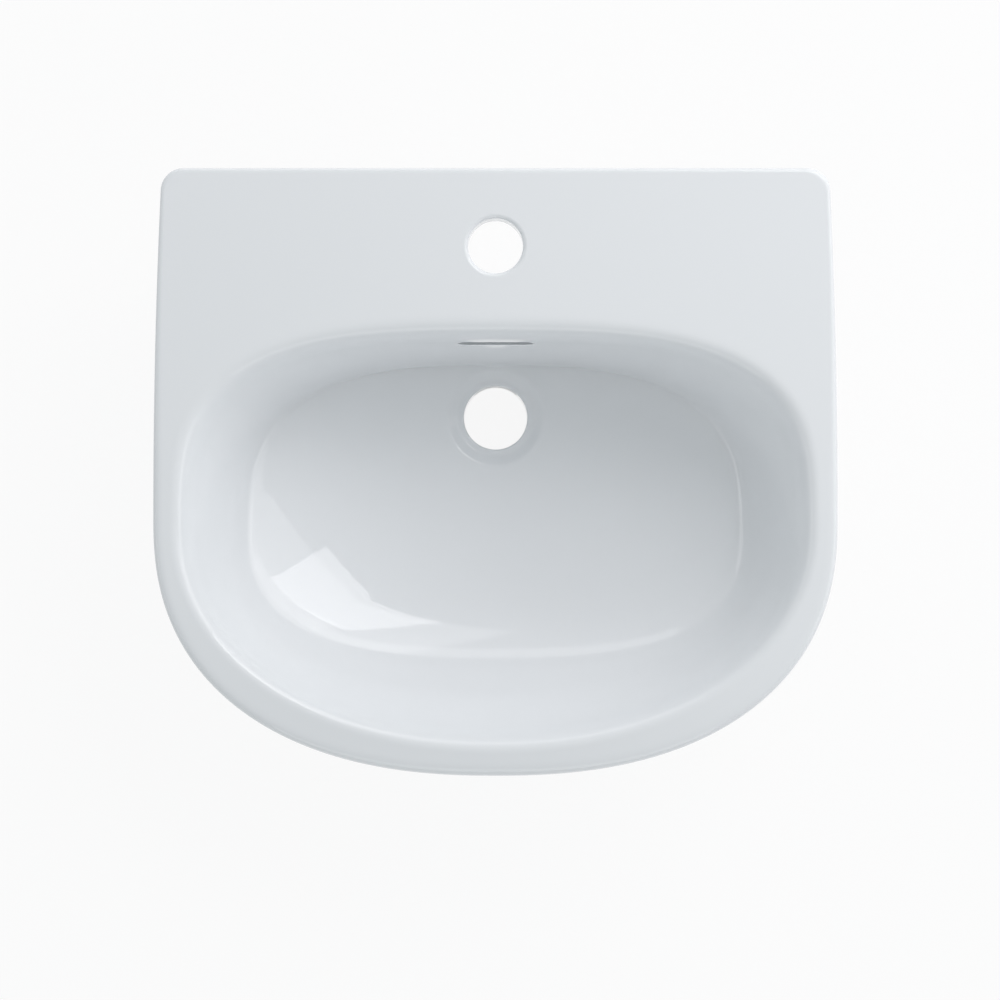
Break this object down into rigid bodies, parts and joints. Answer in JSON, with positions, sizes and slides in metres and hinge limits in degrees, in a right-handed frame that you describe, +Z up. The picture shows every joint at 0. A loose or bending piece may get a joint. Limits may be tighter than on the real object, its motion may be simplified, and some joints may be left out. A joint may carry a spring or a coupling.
{
  "type": "semi-countertop washbasin",
  "caption": "White ceramic semi-countertop washbasin with a flat tap deck, an oval bowl, a bowed front, an overflow slot and claw clamps that grip the worktop from below.",
  "frame": {"origin": "on the worktop's surface, at the centre of the basin's back edge: the flange rests on z = 0 and the back face touches the wall at y = 0", "axes": "+X runs to the right as the user faces the basin, +Y points at the wall behind it, +Z points up"},
  "size_m": [0.45, 0.4, 0.16],
  "materials": {
    "white_glaze": "glossy cool-white glaze",
    "zinc_plate": "bright zinc plate, satin",
    "nylon": "natural nylon, matte",
    "black_rubber": "matte"
  },
  "bodies": {
    "basin": {"basin": "white_glaze", "left_insert": "nylon", "left_stud": "zinc_plate", "right_insert": "nylon", "right_stud": "zinc_plate"},
    "left_washer": {"left_washer": "zinc_plate"},
    "left_claw": {"left_claw": "zinc_plate", "left_pad": "black_rubber"},
    "left_wing_nut": {"left_wing_nut": "zinc_plate"},
    "right_washer": {"right_washer": "zinc_plate"},
    "right_claw": {"right_claw": "zinc_plate", "right_pad": "black_rubber"},
    "right_wing_nut": {"right_wing_nut": "zinc_plate"}
  },
  "joints": [
    {"name": "left_clamp_slide", "type": "slide", "parent": "basin", "child": "left_washer", "axis": [0, 0, 1], "range_m": [0, 0.02]},
    {"name": "left_claw_turn", "type": "hinge", "parent": "left_washer", "child": "left_claw", "pos_m": [-0.18, -0.05, -0.055], "axis": [0, 0, -1], "range_deg": [0, 90]},
    {"name": "left_nut_spin", "type": "hinge", "parent": "left_washer", "child": "left_wing_nut", "pos_m": [-0.18, -0.05, -0.062], "axis": [0, 0, 1], "range_deg": [0, 7200]},
    {"name": "right_clamp_slide", "type": "slide", "parent": "basin", "child": "right_washer", "axis": [0, 0, 1], "range_m": [0, 0.02]},
    {"name": "right_claw_turn", "type": "hinge", "parent": "right_washer", "child": "right_claw", "pos_m": [0.18, -0.05, -0.055], "axis": [0, 0, 1], "range_deg": [0, 90]},
    {"name": "right_nut_spin", "type": "hinge", "parent": "right_washer", "child": "right_wing_nut", "pos_m": [0.18, -0.05, -0.062], "axis": [0, 0, 1], "range_deg": [0, 7200]}
  ],
  "couplings": [
    {"joint": "left_nut_spin", "follows": "left_clamp_slide", "rad_per_m": 6283.2},
    {"joint": "right_nut_spin", "follows": "right_clamp_slide", "rad_per_m": 6283.2}
  ]
}
